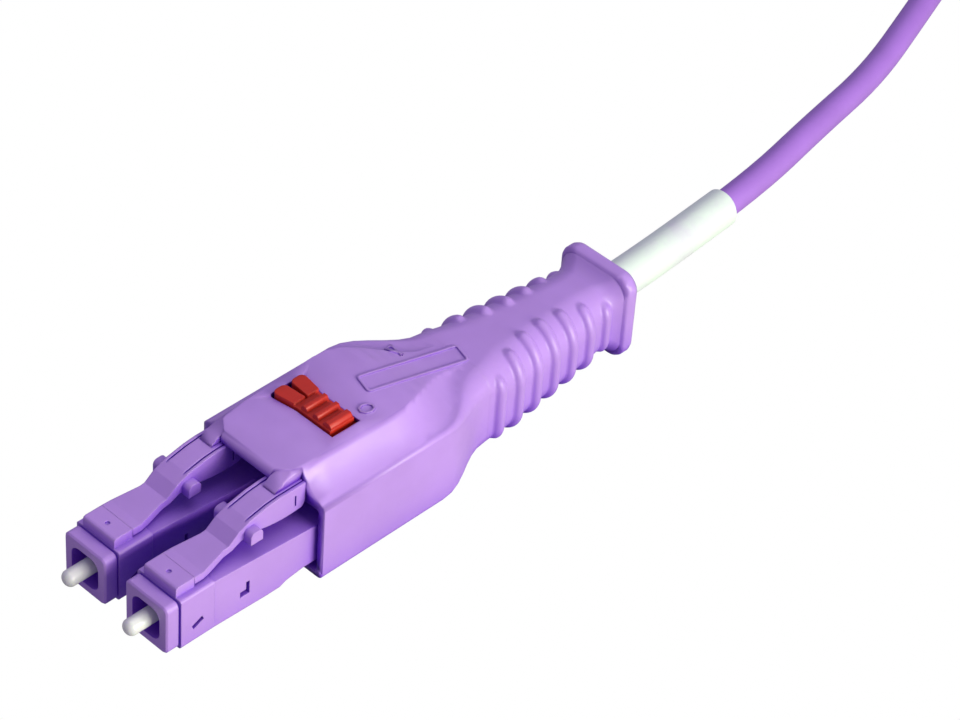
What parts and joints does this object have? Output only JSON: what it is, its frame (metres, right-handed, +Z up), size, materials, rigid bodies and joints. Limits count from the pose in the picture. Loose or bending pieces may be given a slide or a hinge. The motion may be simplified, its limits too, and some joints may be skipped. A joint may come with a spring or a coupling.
{
  "type": "duplex lc fibre connector with patch cord",
  "caption": "Duplex LC fibre connector with two latching plugs, a ribbed push-pull boot, a polarity slider, a pale cable sleeve and a patch cord to a second connector.",
  "frame": {"origin": "middle of the connector's length and width, on the surface it lies on, measured without the cable, its hank and the second connector", "axes": "+X from the ferrule tips towards the cable, +Y from the near plug towards the far plug, +Z up, latches on top"},
  "size_m": [0.2346, 0.022, 0.0106],
  "materials": {
    "violet_plastic": "satin moulded plastic",
    "inner_plastic": "moulded plastic",
    "red_plastic": "satin moulded plastic",
    "ceramic": "polished zirconia ceramic",
    "white_sleeve": "matt shrink sleeve",
    "cable_jacket": "low-smoke cable jacket",
    "fibre_coating": "acrylate coating",
    "metal": "turned metal",
    "spring_steel": "bright spring wire"
  },
  "bodies": {
    "core": {"near_plug_body": "violet_plastic", "near_spring_stop": "inner_plastic", "near_fibre_tube": "fibre_coating", "near_ferrule_spring": "spring_steel", "far_plug_body": "violet_plastic", "far_spring_stop": "inner_plastic", "far_fibre_tube": "fibre_coating", "far_ferrule_spring": "spring_steel", "chassis_tray": "inner_plastic", "chassis_lid": "inner_plastic", "crimp_ring": "metal", "cable_sleeve": "white_sleeve", "cable": "cable_jacket", "cable_hank": "cable_jacket", "cable_tie": "white_sleeve", "cable_end": "cable_jacket", "second_boot": "violet_plastic", "second_polarity_slider": "red_plastic", "second_cable_sleeve": "white_sleeve", "second_plug_body_pair": "violet_plastic", "second_latch_lever_pair": "violet_plastic", "second_ferrule_pair": "ceramic"},
    "boot": {"boot": "violet_plastic"},
    "polarity_slider": {"polarity_slider": "red_plastic"},
    "near_latch": {"near_latch_lever": "violet_plastic"},
    "near_ferrule_set": {"near_ferrule": "ceramic", "near_ferrule_holder": "metal"},
    "far_latch": {"far_latch_lever": "violet_plastic"},
    "far_ferrule_set": {"far_ferrule": "ceramic", "far_ferrule_holder": "metal"}
  },
  "joints": [
    {"name": "boot_pull", "type": "slide", "parent": "core", "child": "boot", "axis": [1, 0, 0], "range_m": [0, 0.0018]},
    {"name": "polarity_slide", "type": "slide", "parent": "boot", "child": "polarity_slider", "axis": [0, -1, 0], "range_m": [0, 0.00025]},
    {"name": "near_latch_press", "type": "hinge", "parent": "core", "child": "near_latch", "pos_m": [-0.02765, 0, 0.00678], "axis": [0, 1, 0], "range_deg": [0, 3.61]},
    {"name": "near_ferrule_press", "type": "slide", "parent": "core", "child": "near_ferrule_set", "axis": [1, 0, 0], "range_m": [0, 0.0009], "stiffness_N_per_m": 5, "deforming": ["near_ferrule_spring"]},
    {"name": "far_latch_press", "type": "hinge", "parent": "core", "child": "far_latch", "pos_m": [-0.02765, 0, 0.00678], "axis": [0, 1, 0], "range_deg": [0, 3.61]},
    {"name": "far_ferrule_press", "type": "slide", "parent": "core", "child": "far_ferrule_set", "axis": [1, 0, 0], "range_m": [0, 0.0009], "stiffness_N_per_m": 5, "deforming": ["far_ferrule_spring"]}
  ],
  "couplings": [
    {"joint": "near_latch_press", "follows": "boot_pull", "rad_per_m": 34.907},
    {"joint": "far_latch_press", "follows": "boot_pull", "rad_per_m": 34.907}
  ]
}
